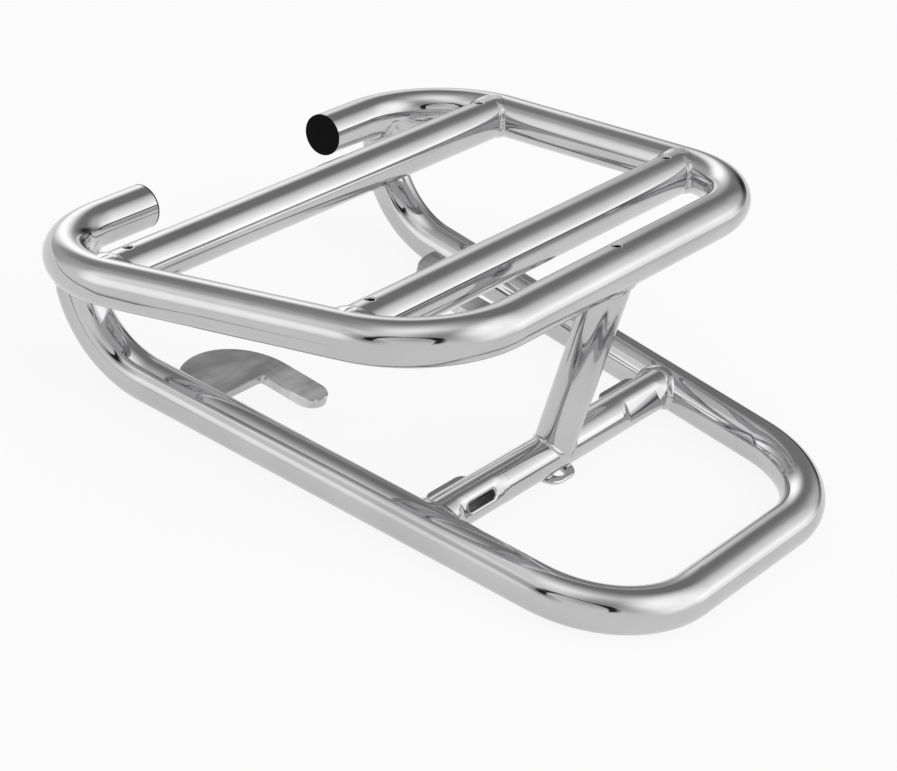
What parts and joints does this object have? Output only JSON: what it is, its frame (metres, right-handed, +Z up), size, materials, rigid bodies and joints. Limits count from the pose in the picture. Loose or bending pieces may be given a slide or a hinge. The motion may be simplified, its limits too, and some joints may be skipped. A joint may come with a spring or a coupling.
{
  "type": "motorcycle luggage rack",
  "caption": "Chromed bent-tube luggage rack: a flat grab loop carries a sloping upper frame with cross bars, on legs and a strut, with hook plates and a slotted seat.",
  "frame": {"origin": "midway between the lower loop's rear rail and the upper frame's front stubs, on the surface that the loop stands on", "axes": "+X forward, towards the rider, +Y to the left, +Z up"},
  "size_m": [0.3442, 0.3262, 0.1285],
  "materials": {
    "chrome_tube": "bright chrome over polished tube",
    "chrome_plate": "chrome over brushed plate",
    "chrome_weld": "chrome over dressed weld bead",
    "black_plastic": "matte moulded plastic"
  },
  "bodies": {
    "root": {"top_rail": "chrome_tube", "front_bar": "chrome_tube", "rear_bar": "chrome_tube", "lower_loop": "chrome_tube", "lower_cross_tube": "chrome_tube", "strut": "chrome_tube", "eye_tab": "chrome_plate", "hook_plate_left": "chrome_plate", "hook_plate_right": "chrome_plate", "stop_lug_left": "chrome_plate", "stop_lug_right": "chrome_plate", "end_plug_left": "black_plastic", "end_plug_right": "black_plastic", "strut_top_weld": "chrome_weld", "strut_foot_weld": "chrome_weld", "eye_tab_weld": "chrome_weld", "front_bar_weld_left": "chrome_weld", "front_bar_weld_right": "chrome_weld", "rear_bar_weld_left": "chrome_weld", "rear_bar_weld_right": "chrome_weld", "cross_tube_weld_left": "chrome_weld", "cross_tube_weld_right": "chrome_weld", "leg_weld_left": "chrome_weld", "leg_weld_right": "chrome_weld", "hook_weld_left": "chrome_weld", "hook_weld_right": "chrome_weld", "lug_weld_left": "chrome_weld", "lug_weld_right": "chrome_weld"}
  },
  "joints": []
}
